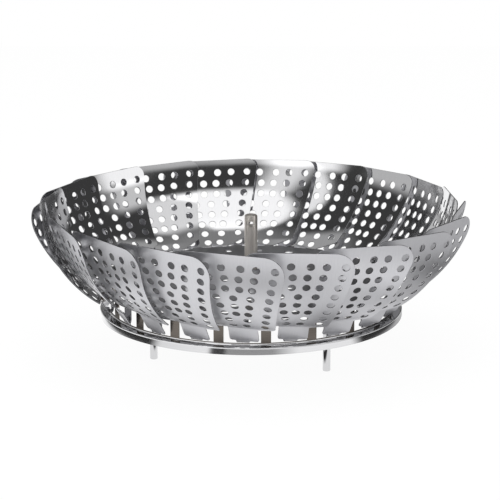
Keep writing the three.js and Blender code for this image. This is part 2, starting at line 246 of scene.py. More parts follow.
def steel(name, tint, roughness, lines, line_depth, waves, wave_depth, smudge, coords):
    """Lines counts the fine lines in a metre, along three axes, and waves the ripples in a metre."""
    material = blank_material(name)
    tree = material.node_tree
    place = coords(tree)
    stretched = add_node(tree, "Mapping", {"Vector": place, "Scale": lines})
    grain = add_node(tree, "TexNoise", {"Vector": stretched, "Scale": 1.0, "Detail": 4.0, "Roughness": 0.65})
    ripple = add_node(tree, "TexNoise", {"Vector": place, "Scale": waves, "Detail": 1.0})
    cloud = add_node(tree, "TexNoise", {
        "Vector": place, "Scale": HANDLING_MARKS, "Detail": 5.0, "Roughness": 0.6})
    tone = add_node(tree, "MapRange", {
        "Value": cloud, "From Min": 0.3, "From Max": 0.7, "To Min": roughness - smudge,
        "To Max": roughness + smudge})
    rough = add_node(tree, "Math", {0: grain, 1: smudge, 2: tone}, operation="MULTIPLY_ADD")
    colour = add_node(tree, "Mix", {0: grain, 6: linear(tint[0]), 7: linear(tint[1])}, data_type="RGBA")
    wavy = add_node(tree, "Bump", {"Strength": wave_depth, "Distance": 0.001, "Height": ripple})
    lined = add_node(tree, "Bump", {
        "Strength": line_depth, "Distance": 0.0001, "Height": grain, "Normal": wavy})
    shader = add_node(tree, "BsdfPrincipled", {
        "Base Color": colour.outputs[2], "Metallic": 1.0, "Roughness": rough, "Normal": lined})
    add_node(tree, "OutputMaterial", {"Surface": shader})
    return material


print("marks of handling are about", round(1000 / HANDLING_MARKS), "mm across")


# %% The places that a finish is laid on
def object_place(tree):
    return add_node(tree, "TexCoord").outputs["Object"]


def sheet_place(tree):
    """Places on the flat sheet before it was bent, from the leaf's own map, in metres."""
    return add_node(tree, "UVMap", uv_map="flat_sheet")


def turned_place(tree):
    """Radius and height, so that lines run round the axis as they do on a lathe."""
    split = add_node(tree, "SeparateXYZ", {0: object_place(tree)})
    flat = add_node(tree, "CombineXYZ", {0: split.outputs[0], 1: split.outputs[1]})
    radius = add_node(tree, "VectorMath", {0: flat}, operation="LENGTH")
    both = {0: radius.outputs["Value"], 1: split.outputs[2]}
    return add_node(tree, "CombineXYZ", both)


print("a finish lies on the object, on the flat sheet or round the axis")

# %% [markdown]
# ### Ten finishes
# Brushing, rolling and turning leave lines about 0.05 mm apart. That is finer than the render can show, so
# they are drawn 3 to 20 times coarser: 6000 lines in a metre is one every 0.17 mm. The ripples of thin sheet
# are 12 to 22 mm from one to the next, as on real leaves and pans, which is 80 to 45 in a metre.

# %% The finishes of the leaves
# Brushed on a belt from rim to crease: it smears all that it mirrors to one soft grey.
leaf_satin = steel("leaf_outside_satin_brushed_18_8", ("#C4C4C8", "#DADADD"), 0.42, (6000, 120, 1), 0.05,
                   60.0, 0.01, 0.04, sheet_place)
# Rolled between polished rolls: a mirror, which the sheet's ripples bend a little.
leaf_mirror = steel("leaf_inside_bright_rolled_18_8", ("#C9C9CB", "#DADADB"), 0.05, (3000, 90, 1), 0.02,
                    60.0, 0.05, 0.03, sheet_place)
# Torn by the punch, so rough; its dark colour is painted shade, so that a thin dark line runs round each leaf
# and each hole, as the shade in the laps does.
leaf_edge_painted_shade = steel("leaf_punched_edge_painted_shade_18_8", ("#4C4C4E", "#6C6C6E"), 0.4, (900, 900, 900), 0.10,
                     60.0, 0.01, 0.06, sheet_place)
print("finishes of the leaves:", [material.name for material in (leaf_satin, leaf_mirror, leaf_edge_painted_shade)])

# %% The finishes of the pan
# Buffed on a wheel as the pan turns: nearly a mirror, with faint rings.
pan_polish = steel("pan_polished_18_8", ("#C6C6C8", "#DCDCDD"), 0.09, (2500, 2500, 1), 0.03,
                   45.0, 0.03, 0.03, turned_place)
# The riser, where the wheel does not reach, is half dull; its dark brownish colour is painted shade, for the
# shade that the leaves above cast on it.
riser_painted_shade = steel("pan_riser_half_dull_painted_shade_18_8", ("#57514C", "#7A746E"), 0.22, (2500, 2500, 1), 0.05,
                   45.0, 0.03, 0.04, turned_place)
# The plate is as it came from the rolls: a darker grey that blurs what it mirrors.
plate_dull = steel("pan_plate_as_rolled_18_8", ("#808083", "#98989B"), 0.3, (2500, 2500, 1), 0.06,
                   45.0, 0.03, 0.05, object_place)
print("finishes of the pan:", [material.name for material in (pan_polish, riser_painted_shade, plate_dull)])

# %% The finishes of rod, wire and small blanks
# Turned and nickel plated, with soft streaks down the post; its warm tan grey is partly nickel's own tint and
# partly a painted reflection of warm things.
post_turned = steel("post_turned_nickel_bright", ("#CFC4B8", "#FFFDFA"), 0.34, (1500, 1500, 12), 0.12,
                    70.0, 0.03, 0.05, object_place)
# Drawn through a die: bright along the wire, but not a mirror.
wire_drawn = steel("wire_drawn_bright", ("#A9A9AC", "#C4C4C6"), 0.22, (4000, 4000, 400), 0.06,
                   80.0, 0.02, 0.05, object_place)
# Chromed: the sharpest mirror of all, with a cold tint.
rod_chrome = steel("rod_chromed", ("#CFCFD1", "#DFDFE0"), 0.06, (2500, 2500, 60), 0.02,
                   70.0, 0.03, 0.03, object_place)
# Cut from rolled strip and left so: a dull grey that shows no room.
blank_rolled = steel("blank_as_rolled", ("#98989B", "#B4B4B6"), 0.38, (900, 5000, 900), 0.10,
                     60.0, 0.03, 0.07, object_place)
rod_and_wire = (post_turned, wire_drawn, rod_chrome, blank_rolled)
print("finishes of rod, wire and blanks:", [material.name for material in rod_and_wire])

# %% [markdown]
# ## The leaf
# Each leaf starts as a flat blank with about forty round holes. It could be modelled already bent, but holes
# that are punched flat stay round and even, so the blank is drawn flat here too, filled round its holes,
# given its thickness, and then bent by moving every point onto the leaf's side line. The line runs from the
# rim down to the crease, down the flap between two posts of the pan, in through the window and round the
# wire.

# %% The leaf's side line, from the rim to the tip of its hook
LEAF_SHEET = 0.5
CREASE = Vector((HINGE_RADIUS + 3.7, 13.0))
RIM = Vector((CREASE.x + 24.6, CREASE.y + 38.5))
BLADE_BULGE = 4.6
CREASE_WIDTH, RIM_WIDTH = 30.0, 50.0
ROW_COUNT, RIM_TO_FIRST_ROW, LAST_ROW_TO_CREASE = 8, 6.3, 2.95
ABOVE_CREASE = 3.0

chord = (RIM - CREASE).length
slope = math.atan2(RIM.y - CREASE.y, RIM.x - CREASE.x)
half_arc = 2 * math.atan(2 * BLADE_BULGE / chord)
arc_radius = chord / 2 / math.sin(half_arc)
BLADE_LENGTH = 2 * half_arc * arc_radius
ROW_PITCH = (BLADE_LENGTH - RIM_TO_FIRST_ROW - LAST_ROW_TO_CREASE) / (ROW_COUNT - 1)


def blade_point(length):
    start = slope - half_arc
    angle = start + length / arc_radius
    across_arc = Vector((math.sin(angle) - math.sin(start), math.cos(start) - math.cos(angle)))
    return CREASE + arc_radius * across_arc


print("blade length", round(BLADE_LENGTH, 2), "mm, rows", round(ROW_PITCH, 2), "mm apart")

# %% The flap, the tongue and the hook continue the line
HOOK_WIDTH, HOOK_CLEARANCE = 5.7, 1.0
HEEL_HEIGHT, HEEL_RISE, HEEL_WIDTH, HEEL_CORNER = 1.5, 0.9, 1.4, 0.35
TAIL_BEND, HOOK_TURN, HOOK_STEPS = 0.9, 120, 8
curl = WIRE_RADIUS + HOOK_CLEARANCE + LEAF_SHEET / 2
wire_centre = Vector((HINGE_RADIUS, HINGE_HEIGHT))
hook_back = HINGE_RADIUS - curl
heel = BAND_HEIGHT + HEEL_HEIGHT
foot = Vector((hook_back + HEEL_WIDTH, heel + HEEL_RISE))
tail = [blade_point(ABOVE_CREASE), CREASE, foot, Vector((foot.x - HEEL_CORNER, heel)),
        Vector((hook_back + HEEL_CORNER, heel)), Vector((hook_back, heel + HEEL_RISE))]
tail = soften(tail + [Vector((hook_back, HINGE_HEIGHT))], TAIL_BEND)
for step in range(1, HOOK_STEPS + 1):
    angle = math.radians(180 - HOOK_TURN * step / HOOK_STEPS)
    tail.append(wire_centre + curl * Vector((math.cos(angle), math.sin(angle))))

BLADE_STEPS = 24
blade_line = [blade_point(BLADE_LENGTH - (BLADE_LENGTH - ABOVE_CREASE) * i / BLADE_STEPS)
              for i in range(BLADE_STEPS)]
side_line = blade_line + tail
lengths = lengths_along(side_line)
facings = [Vector((-onward.y, onward.x)) for onward in ways_along(side_line)]
FOOT_AT = BLADE_LENGTH + (foot - CREASE).length
print("side line:", len(side_line), "points,", round(lengths[-1], 2), "mm from rim to tip")

# %% [markdown]
# ### Cut the blank
# The blank's outline is a face with a few corners, and a vertex bevel rounds each to its own radius. Every
# point of an arc could be worked out by hand, but a bevel does that and keeps the sides straight. The covered
# lower corner, on the left seen from outside, is cut back so that the leaf passes the wire and the pan as it
# folds. The holes follow both side edges in two columns, with a few more between.

# %% The blank's outline: across the leaf, and down from the rim
def half_width(down):
    return (RIM_WIDTH + (CREASE_WIDTH - RIM_WIDTH) * down / BLADE_LENGTH) / 2


COVERED_CREASE_HALF, COVERED_FLAP_HALF, OUTER_FLAP_HALF, FLAP_ROOT_DROP = 6.0, 6.0, 7.2, 0.9
RELIEF_ROW = ROW_COUNT - 1.5
RELIEF_AT = RIM_TO_FIRST_ROW + RELIEF_ROW * ROW_PITCH


def covered_edge(down):
    share = min(1.0, (BLADE_LENGTH - down) / (BLADE_LENGTH - RELIEF_AT))
    return -(COVERED_CREASE_HALF + (half_width(down) - COVERED_CREASE_HALF) * share)


half_hook = HOOK_WIDTH / 2
# Each corner has its place and the radius that the blanking tool gives it, from the covered end of the rim.
corners = [
    ((-half_width(0), 0), 4.5), ((-half_width(RELIEF_AT), RELIEF_AT), 1.5),
    ((-COVERED_CREASE_HALF, BLADE_LENGTH), 1.0), ((-COVERED_FLAP_HALF, FOOT_AT), 1.2),
    ((-half_hook, FOOT_AT), 0.7), ((-half_hook, lengths[-1]), 1.0), ((half_hook, lengths[-1]), 1.0),
    ((half_hook, FOOT_AT), 0.7), ((OUTER_FLAP_HALF, FOOT_AT), 1.2),
    ((OUTER_FLAP_HALF, BLADE_LENGTH + FLAP_ROOT_DROP), 0.5),
    ((half_width(BLADE_LENGTH), BLADE_LENGTH), 1.5), ((half_width(0), 0), 8.5),
]
print("blank:", len(corners), "corners,", round(2 * half_width(0), 1), "mm wide at the rim")

# %% Round each corner of a blank
ARC_STEPS_PER_MM, FEWEST_ARC_STEPS = 1.4, 3


def round_corners(bm, face_corners):
    """Rounds each corner of the only face by a vertex bevel whose arc has the corner's radius."""
    verts = [bm.verts.new((across, -down, 0)) for (across, down), _ in face_corners]
    bm.faces.new(verts)
    for vert, (_, radius) in zip(verts, face_corners):
        one, two = [edge.other_vert(vert).co - vert.co for edge in vert.link_edges]
        reach = radius / math.tan(one.angle(two) / 2)
        steps = max(FEWEST_ARC_STEPS, round(radius * ARC_STEPS_PER_MM))
        bmesh.ops.bevel(bm, geom=[vert], offset=reach, offset_type="OFFSET", segments=steps, profile=0.5,
                        affect="VERTICES", clamp_overlap=True, material=-1)


print("an arc of 8.5 mm has", round(8.5 * ARC_STEPS_PER_MM), "steps")

# %% The holes: two columns beside each edge, and a few on the middle
HOLE_RADIUS, HOLE_SIDES = 1.75, 16
EDGE_TO_COLUMN, COLUMN_PITCH = 4.6, 8.1
MIDDLE_HALF = {0: 4.2, 1: 3.1, 2: 3.1, 3: 0.0, 4: 0.0, 5: 0.0}

hole_places = []
for row in range(ROW_COUNT):
    down = RIM_TO_FIRST_ROW + row * ROW_PITCH
    outer = half_width(down) - EDGE_TO_COLUMN
    row_places = [-outer, outer, -outer + COLUMN_PITCH, outer - COLUMN_PITCH]
    if row in MIDDLE_HALF:
        row_places += [MIDDLE_HALF[row], -MIDDLE_HALF[row]] if MIDDLE_HALF[row] else [0.0]
    hole_places += [(place, down, HOLE_RADIUS) for place in row_places
                    if place - HOLE_RADIUS > covered_edge(down)]
print(len(hole_places), "holes in a leaf")

# %% [markdown]
# ### Punch, thicken and bend
# The face is filled again round the circles, and cut across at every point of the side line, so that it can
# bend there. A thin inset, pushed down a little, gives each edge the small break that a punch leaves, and
# catches the light. The edges are then drawn down, and a mirrored copy closes the other side.

# %% The flat leaf
CHAMFER = 0.09


def punch(bm, holes, sides):
    """Replaces the faces by a fill between their outline and round holes, and breaks every edge."""
    bmesh.ops.delete(bm, geom=bm.faces[:], context="FACES_ONLY")
    for across, down, radius in holes:
        bmesh.ops.create_circle(bm, cap_ends=False, radius=radius, segments=sides,
                                matrix=Matrix.Translation((across, -down, 0)))
    bmesh.ops.triangle_fill(bm, use_beauty=True, use_dissolve=False, edges=bm.edges[:], normal=(0, 0, 1))
    bmesh.ops.inset_region(bm, faces=bm.faces, use_boundary=True, use_even_offset=True, thickness=CHAMFER)


def cut_across(bm, downs):
    """Cuts the fill at each bend, so that it can bend there."""
    for down in downs:
        bmesh.ops.bisect_plane(bm, geom=everything(bm), dist=SAME_POINT, plane_co=(0, -down, 0),
                               plane_no=(0, 1, 0))


def thicken(bm, sheet):
    """A flat sheet with broken edges, from a flat fill in the plane z = 0."""
    for face in bm.faces:
        if face.normal.z < 0:
            face.normal_flip()
    bmesh.ops.translate(bm, verts=bm.verts, vec=(0, 0, sheet / 2))
    rim_edges = [edge for edge in bm.edges if edge.is_boundary]
    rim_verts = list(dict.fromkeys(vert for edge in rim_edges for vert in edge.verts))
    bmesh.ops.translate(bm, verts=rim_verts, vec=(0, 0, -CHAMFER))
    walls = bmesh.ops.extrude_edge_only(bm, edges=rim_edges)["geom"]
    bmesh.ops.translate(bm, verts=[part for part in walls if isinstance(part, bmesh.types.BMVert)],
                        vec=(0, 0, CHAMFER - sheet / 2))
    bmesh.ops.mirror(bm, geom=everything(bm), matrix=Matrix(), merge_dist=SAME_POINT, axis="Z")
    bmesh.ops.recalc_face_normals(bm, faces=bm.faces)


leaf = bmesh.new()
round_corners(leaf, corners)
punch(leaf, hole_places, HOLE_SIDES)
cut_across(leaf, lengths[1:-1])
thicken(leaf, LEAF_SHEET)
print("flat leaf:", len(leaf.faces), "faces, open edges:", sum(edge.is_boundary for edge in leaf.edges))

# %% [markdown]
# ### Bend it and set it round
# Each point keeps its place across the leaf and its depth in the sheet, and goes to its length along the
# side line. The leaf is also twisted a little, so that one edge passes inside its neighbour. Blender could
# work out the shading of the bent mesh, but a mirror shows the smallest error, and the flat sheet knows
# exactly which way every corner of a face looks, so these directions are bent with the points. On the bright
# side they also lean a few degrees towards the side edges, as on the real leaf, whose sheet is very slightly
# crowned. The flat places are kept as a map for the brushed lines.

# %% The leaf's twist, which fades out along the tongue
LAP_CLEARANCE, TWIST_AXIS, HINGE_SKEW, TWIST_FADE = 2.4, math.radians(79), 0.17, 3


def lap_twist(half, radius):
    return half / radius - PITCH / 2 + LAP_CLEARANCE / (radius * PITCH)


TWIST = max(lap_twist(RIM_WIDTH / 2, RIM.x), lap_twist(CREASE_WIDTH / 2, CREASE.x))
twist_axis = Vector((math.cos(TWIST_AXIS), 0, math.sin(TWIST_AXIS)))
crease_point = Vector((CREASE.x, 0, CREASE.y))
skewed = Vector((0, 1, HINGE_SKEW)).normalized()
print("twist", round(math.degrees(TWIST), 2), "degrees")


def bend_frame(down):
    """The twist at a length of the side line, its place, and its ways across, upwards and outwards."""
    i, t = step_at(lengths, down)
    at = side_line[i - 1].lerp(side_line[i], t)
    out = facings[i - 1].lerp(facings[i], t).normalized()
    stay = min(1.0, max(0.0, 1 - (down - FOOT_AT) / TWIST_FADE))
    stay = stay * stay * (3 - 2 * stay)
    across = Vector((0, 1, 0)).lerp(skewed, 1 - stay).normalized()
    turn = Matrix.Rotation(-TWIST * stay, 3, twist_axis)
    outward = Vector((out.x, 0, out.y))
    upward = Vector((-out.y, 0, out.x))
    place = Vector((at.x, 0, at.y)) - crease_point
    return turn, place, across, upward, outward


# %% Bend every point and every corner's direction
CROWN_RADIUS = 230.0
flat_mesh = bpy.data.meshes.new("leaf_flat")
leaf.to_mesh(flat_mesh)
leaf.free()
flat_mesh.shade_smooth()
flat_mesh.set_sharp_from_angle(angle=CRISP)

bent_points = []
for vert in flat_mesh.vertices:
    turn, place, across, upward, outward = bend_frame(-vert.co.y)
    bent_points.append(crease_point + turn @ (place + across * vert.co.x + outward * vert.co.z))
bent_normals = []
for loop, normal in zip(flat_mesh.loops, flat_mesh.corner_normals):
    spot = flat_mesh.vertices[loop.vertex_index].co
    turn, place, across, upward, outward = bend_frame(-spot.y)
    crown = min(normal.vector.z, 0.0) * spot.x / CROWN_RADIUS
    facing = across * (normal.vector.x + crown) + upward * normal.vector.y + outward * normal.vector.z
    bent_normals.append((turn @ facing).normalized())
print("bent", len(bent_points), "points and", len(bent_normals), "directions")

# %% Lay the map of the flat sheet, and give each face its finish
LEAF_FINISHES = [leaf_satin, leaf_mirror, leaf_edge_painted_shade]
MOSTLY_SIDEWAYS, FULLY_INWARDS = 0.3, -0.9
flat_map = flat_mesh.uv_layers.new(name="flat_sheet")
for loop, corner_place in zip(flat_mesh.loops, flat_map.data):
    corner_place.uv = flat_mesh.vertices[loop.vertex_index].co.xy * METRES
# Side walls get the rough edge finish, which is painted dark as painted shade; inward faces get the bright
# finish.
for face in flat_mesh.polygons:
    if abs(face.normal.z) < MOSTLY_SIDEWAYS:
        face.material_index = LEAF_FINISHES.index(leaf_edge_painted_shade)
    elif face.normal.z < FULLY_INWARDS:
        face.material_index = LEAF_FINISHES.index(leaf_mirror)
print("bright faces:", sum(face.material_index == 1 for face in flat_mesh.polygons))

# %% Copy the leaf round the wire
for number in range(LEAF_COUNT):
    name = f"leaf_{number + 1:02d}"
    round_turn = Matrix.Rotation(FIRST_LEAF + PITCH * number, 3, "Z")
    mesh = flat_mesh.copy()
    mesh.name = name + "_steel"
    for vert, point in zip(mesh.vertices, bent_points):
        vert.co = (round_turn @ point + Vector((0, 0, -FOOT_LEVEL))) * METRES
    mesh.normals_split_custom_set([round_turn @ normal for normal in bent_normals])
    add_piece(mesh, name + "_steel", name, [name], LEAF_FINISHES)
bpy.data.meshes.remove(flat_mesh)
print("leaves:", LEAF_COUNT)

# %% [markdown]
# ## The base pan
# The pan is pressed upside down from one sheet: a band, a ledge, a riser and the plate that food lies on.
# Twenty windows could be cut with twenty boxes, but those leave long thin faces on a curved wall. So one
# twentieth of the wall is turned from its side line, its window is cut by planes, and copies go round. The
# plate is a flat fill between that wall and its round holes.

# %% One window's share of the wall
PLATE_FILL_RADIUS, WINDOW_SILL, SECTOR_STEPS = 60.0, BAND_HEIGHT + 0.9, 12
PAN_CORNER, CORNER_HOLD = 0.6, 0.25
wall_line = [Vector((x, 0, z)) for x, z in (
    (PAN_RADIUS, 0), (PAN_RADIUS, BAND_HEIGHT), (RISER_RADIUS, BAND_HEIGHT), (RISER_RADIUS, PAN_HEIGHT),
    (PLATE_FILL_RADIUS, PAN_HEIGHT))]
wall_line = soften(wall_line, PAN_CORNER)
# One more point holds the band flat up to its corner, or its mirrored room would slide into the curve.
wall_line.insert(1, Vector((PAN_RADIUS, 0, BAND_HEIGHT - PAN_CORNER - CORNER_HOLD)))
window_half = RISER_RADIUS * math.sin(PITCH / 2) - WINDOW_POST / 2
window_back = RISER_RADIUS - SLOT_DEPTH

pan = bmesh.new()
line = draw_line(pan, wall_line)
bmesh.ops.rotate(pan, verts=pan.verts, cent=(0, 0, 0), matrix=Matrix.Rotation(-PITCH / 2, 3, "Z"))
turn_line(pan, line, SECTOR_STEPS, PITCH)
for point, way in (((0, window_half, 0), (0, 1, 0)), ((0, -window_half, 0), (0, 1, 0)),
                   ((window_back, 0, 0), (1, 0, 0)), ((0, 0, WINDOW_SILL), (0, 0, 1))):
    bmesh.ops.bisect_plane(pan, geom=everything(pan), dist=SAME_POINT, plane_co=point, plane_no=way)


def in_window(face):
    middle = face.calc_center_median()
    return abs(middle.y) < window_half and middle.z > WINDOW_SILL and middle.x > window_back


bmesh.ops.delete(pan, geom=[face for face in pan.faces if in_window(face)], context="FACES")
print("window:", round(2 * window_half, 2), "mm wide")

# %% Copy the share round the pan
bmesh.ops.rotate(pan, verts=pan.verts, cent=(0, 0, 0), matrix=Matrix.Rotation(FIRST_LEAF, 3, "Z"))
bmesh.ops.spin(pan, geom=everything(pan), cent=(0, 0, 0), axis=(0, 0, 1), dvec=(0, 0, 0),
               angle=2 * math.pi - PITCH, steps=LEAF_COUNT - 1, use_duplicate=True)
bmesh.ops.remove_doubles(pan, verts=pan.verts, dist=SAME_POINT * 10)
print("wall faces:", len(pan.faces))

# %% The plate's holes: one for the post's stud, one for each rivet, and rings of larger ones
PLATE_HOLE_RADIUS, HOLE_PITCH, RING_PITCH, RING_COUNT = 2.25, 15.0, 11.0, 5
STUD_RADIUS, RIVET_RADIUS, BRACKET_LENGTH = 2.0, 1.0, 9.0
leg_angles = [FIRST_LEG + 2 * math.pi * i / LEG_COUNT for i in range(LEG_COUNT)]
leg_places = [Vector((math.cos(a), math.sin(a), 0)) * LEG_CIRCLE for a in leg_angles]

# Each hole has its place, its radius and the number of its sides.
holes = [(Vector((0, 0, 0)), STUD_RADIUS + SEAT_GAP, 32)]
holes += [(place, RIVET_RADIUS + SEAT_GAP, 16) for place in leg_places]
clear_of_bracket = BRACKET_LENGTH / 2 + PLATE_HOLE_RADIUS + SEAT_GAP
for ring in range(1, RING_COUNT + 1):
    count = round(2 * math.pi * ring * RING_PITCH / HOLE_PITCH)
    for i in range(count):
        angle = 2 * math.pi * (i + ring / 2) / count
        place = Matrix.Rotation(angle, 3, "Z") @ Vector((ring * RING_PITCH, 0, 0))
        if all((place - leg_place).length > clear_of_bracket for leg_place in leg_places):
            holes.append((place, PLATE_HOLE_RADIUS, 20))
print("plate holes:", len(holes))

# %% Fill the plate between the wall and its holes
NEARLY = 0.01
fill_edges = [edge for edge in pan.edges if edge.is_boundary
              and all(abs(vert.co.xy.length - PLATE_FILL_RADIUS) < NEARLY for vert in edge.verts)]
for place, radius, sides in holes:
    in_plate = Matrix.Translation(place + Vector((0, 0, PAN_HEIGHT)))
    rim = bmesh.ops.create_circle(pan, cap_ends=False, radius=radius, segments=sides, matrix=in_plate)
    fill_edges += edges_of(rim["verts"])
bmesh.ops.triangle_fill(pan, use_beauty=True, use_dissolve=False, edges=fill_edges, normal=(0, 0, 1))
bmesh.ops.recalc_face_normals(pan, faces=pan.faces)
if sum(face.normal.z * face.calc_area() for face in pan.faces) < 0:
    bmesh.ops.reverse_faces(pan, faces=pan.faces)
print("faces of the pan's outside:", len(pan.faces))

# %% Give the pan its finishes and its thickness
PAN_FINISHES = [pan_polish, riser_painted_shade, plate_dull]
RISER_MARGIN, PLATE_MARGIN, LEVEL_MARGIN = 0.5, 1.0, 0.1
# Faces of the riser get its finish, which is painted dark as painted shade; faces of the plate get the
# plate's finish.
for face in pan.faces:
    middle = face.calc_center_median()
    on_riser = BAND_HEIGHT + RISER_MARGIN < middle.z < PAN_HEIGHT - RISER_MARGIN
    if middle.xy.length > RISER_RADIUS - RISER_MARGIN and on_riser:
        face.material_index = PAN_FINISHES.index(riser_painted_shade)
    elif middle.z > PAN_HEIGHT - LEVEL_MARGIN and middle.xy.length < RISER_RADIUS - PLATE_MARGIN:
        face.material_index = PAN_FINISHES.index(plate_dull)
bmesh.ops.solidify(pan, geom=pan.faces[:], thickness=PAN_SHEET)
print("pan:", len(pan.faces), "faces, open edges:", sum(edge.is_boundary for edge in pan.edges))
settle(pan, "base_pan_steel", "base", ["base_pan"], PAN_FINISHES)

# %% [markdown]
# ## The wire ring
# The hinge is one turn of drawn wire with its ends butt-welded. A torus would do, but spinning a circle is
# how any ring is made, and its points stay free to be moved: a small swell marks the weld, which sits at the
# back of the basket.

# %% Turn the ring and swell its weld
WIRE_SIDES, RING_STEPS, WELD_REACH, WELD_SWELL = 14, 200, 2.5, 0.2
wire_ring = bmesh.new()
upright = Matrix.Translation((HINGE_RADIUS, 0, 0)) @ Matrix.Rotation(math.pi / 2, 4, "X")
circle = bmesh.ops.create_circle(wire_ring, cap_ends=False, radius=WIRE_RADIUS, segments=WIRE_SIDES,
                                 matrix=upright)["verts"]
turn_line(wire_ring, circle + edges_of(circle), RING_STEPS)
weld = Vector((0, HINGE_RADIUS, 0))
for vert in wire_ring.verts:
    near = max(0.0, 1 - (vert.co - weld).length / WELD_REACH)
    core = vert.co.copy()
    core.z = 0
    core = core.normalized() * HINGE_RADIUS
    vert.co = core + (vert.co - core) * (1 + WELD_SWELL * near)
bmesh.ops.recalc_face_normals(wire_ring, faces=wire_ring.faces)
bmesh.ops.translate(wire_ring, verts=wire_ring.verts, vec=(0, 0, HINGE_HEIGHT))
print("ring:", len(wire_ring.faces), "faces,", round(2 * math.pi * HINGE_RADIUS), "mm of wire")
settle(wire_ring, "hinge_ring_wire", "base", ["hinge_ring"], [wire_drawn])

# %% [markdown]
# ## The centre post
# The post lifts the hot basket out of its pan. It is a turned rod with a cross hole near its top, and a
# thinner threaded stud goes down through the plate. A turned shape has no cross hole, and a hole made by
# moving faces would not stay round, so a cutter bores it, as a drill does.

# %% A cutter for cross holes, and a helper that bores with it
CUTTER_PAST = 2


def bored(bm, cutter_bm):
    """The first shape with the second one cut out of it, as a new bmesh."""
    parts = []
    for shape, title in ((bm, "work"), (cutter_bm, "cutter")):
        mesh = bpy.data.meshes.new(title)
        shape.to_mesh(mesh)
        shape.free()
        parts.append(new_object(title, mesh))
    work, cutter = parts
    cut = work.modifiers.new("bore", "BOOLEAN")
    cut.operation = "DIFFERENCE"
    cut.solver = "EXACT"
    cut.object = cutter
    result = bmesh.new()
    result.from_object(work, bpy.context.evaluated_depsgraph_get())
    for part in parts:
        mesh = part.data
        bpy.data.objects.remove(part)
        bpy.data.meshes.remove(mesh)
    return result


def cross_rod(radius, half_length, height, sides):
    """A rod that lies along Y at a height, ready to cut with."""
    rod = bmesh.new()
    lying = Matrix.Translation((0, 0, height)) @ Matrix.Rotation(math.pi / 2, 4, "X")
    bmesh.ops.create_cone(rod, cap_ends=True, segments=sides, radius1=radius, radius2=radius,
                          depth=2 * half_length, matrix=lying)
    return rod


print("a cutter reaches", CUTTER_PAST, "mm past what it cuts")

# %% Heights of the post's fastening, and the outline of its threaded stud
WASHER_RADIUS, WASHER_SHEET, NUT_FLATS, NUT_HEIGHT, STUD_TAIL = 5.5, 0.8, 7.0, 3.2, 1.0
washer_top = PLATE_UNDERSIDE - SEAT_GAP
washer_foot = washer_top - WASHER_SHEET
nut_top = washer_foot - SEAT_GAP
nut_foot = nut_top - NUT_HEIGHT
stud_foot = nut_foot - STUD_TAIL
THREAD_PITCH, THREAD_DEPTH, STUD_BREAK = 0.7, 0.2, 0.4

stud_line = [(0.0, stud_foot), (STUD_RADIUS - STUD_BREAK, stud_foot), (STUD_RADIUS, stud_foot + STUD_BREAK)]
height = stud_foot + STUD_BREAK
while height + THREAD_PITCH < PLATE_UNDERSIDE:
    stud_line += [(STUD_RADIUS - THREAD_DEPTH, height + THREAD_PITCH / 2),
                  (STUD_RADIUS, height + THREAD_PITCH)]
    height += THREAD_PITCH
print("the stud ends", round(stud_foot, 2), "mm above the band's lower edge")

# %% Turn the post and bore its eye
POST_RADIUS, POST_TOP, EYE_RADIUS, EYE_DROP, POST_FOOT_BREAK = 3.0, 46.1, 1.3, 4.0, 0.2
# The top's edge is rounded through three points, each so far in from the side and down from the top.
TOP_ROUND = ((0.0, 0.9), (0.25, 0.3), (0.8, 0.0))
post_foot = PAN_HEIGHT + SEAT_GAP
post_line = [(STUD_RADIUS, post_foot), (POST_RADIUS - POST_FOOT_BREAK, post_foot),
             (POST_RADIUS, post_foot + POST_FOOT_BREAK)]
post_line += [(POST_RADIUS - inwards, POST_TOP - drop) for inwards, drop in TOP_ROUND] + [(0.0, POST_TOP)]
eye_cutter = cross_rod(EYE_RADIUS, POST_RADIUS + CUTTER_PAST, POST_TOP - EYE_DROP, 24)
post = bored(turned(stud_line + post_line, 40), eye_cutter)
print("post faces:", len(post.faces))
settle(post, "centre_post_rod", "base", ["centre_post"], [post_turned])

# %% [markdown]
# ### The washer and the nut
# Both are hidden under the plate, and hold the post. The washer is turned. The nut could be bevelled at its
# corners, but a real nut is turned from hexagon bar, so here too a turned cutter takes the corners off.

# %% Turn the washer, and cut the nut from a hexagon
BORE_BREAK, WASHER_BREAK, NUT_BREAK = 0.1, 0.15, 0.45
loose_on_stud = STUD_RADIUS + SEAT_GAP
washer = turned([(loose_on_stud, washer_foot + BORE_BREAK), (loose_on_stud + BORE_BREAK, washer_foot),
                 (WASHER_RADIUS - WASHER_BREAK, washer_foot), (WASHER_RADIUS, washer_foot + WASHER_BREAK),
                 (WASHER_RADIUS, washer_top - WASHER_BREAK), (WASHER_RADIUS - WASHER_BREAK, washer_top),
                 (loose_on_stud, washer_top), (loose_on_stud, washer_foot + BORE_BREAK)], 48)
settle(washer, "post_washer_blank", "base", ["post_washer"], [blank_rolled])

nut = bmesh.new()
nut_corner = NUT_FLATS / 2 / math.cos(math.pi / 6)
nut_place = Matrix.Translation((0, 0, nut_top - NUT_HEIGHT / 2)) @ Matrix.Rotation(math.pi / 6, 4, "Z")
bmesh.ops.create_cone(nut, cap_ends=True, segments=6, radius1=nut_corner, radius2=nut_corner,
                      depth=NUT_HEIGHT, matrix=nut_place)
cut_from, cut_to, above, below = NUT_FLATS / 2 - 0.1, nut_corner + 0.2, nut_top + 1, nut_foot - 1
corner_cutter = turned([(cut_from, below), (cut_from, nut_foot), (cut_to, nut_foot + NUT_BREAK),
                        (cut_to, nut_top - NUT_BREAK), (cut_from, nut_top), (cut_from, above),
                        (nut_corner + CUTTER_PAST, above), (nut_corner + CUTTER_PAST, below),
                        (cut_from, below)], 48)
bore_cutter = turned([(0.0, below), (loose_on_stud, below), (loose_on_stud, above), (0.0, above)], 32)
nut = bored(bored(nut, corner_cutter), bore_cutter)
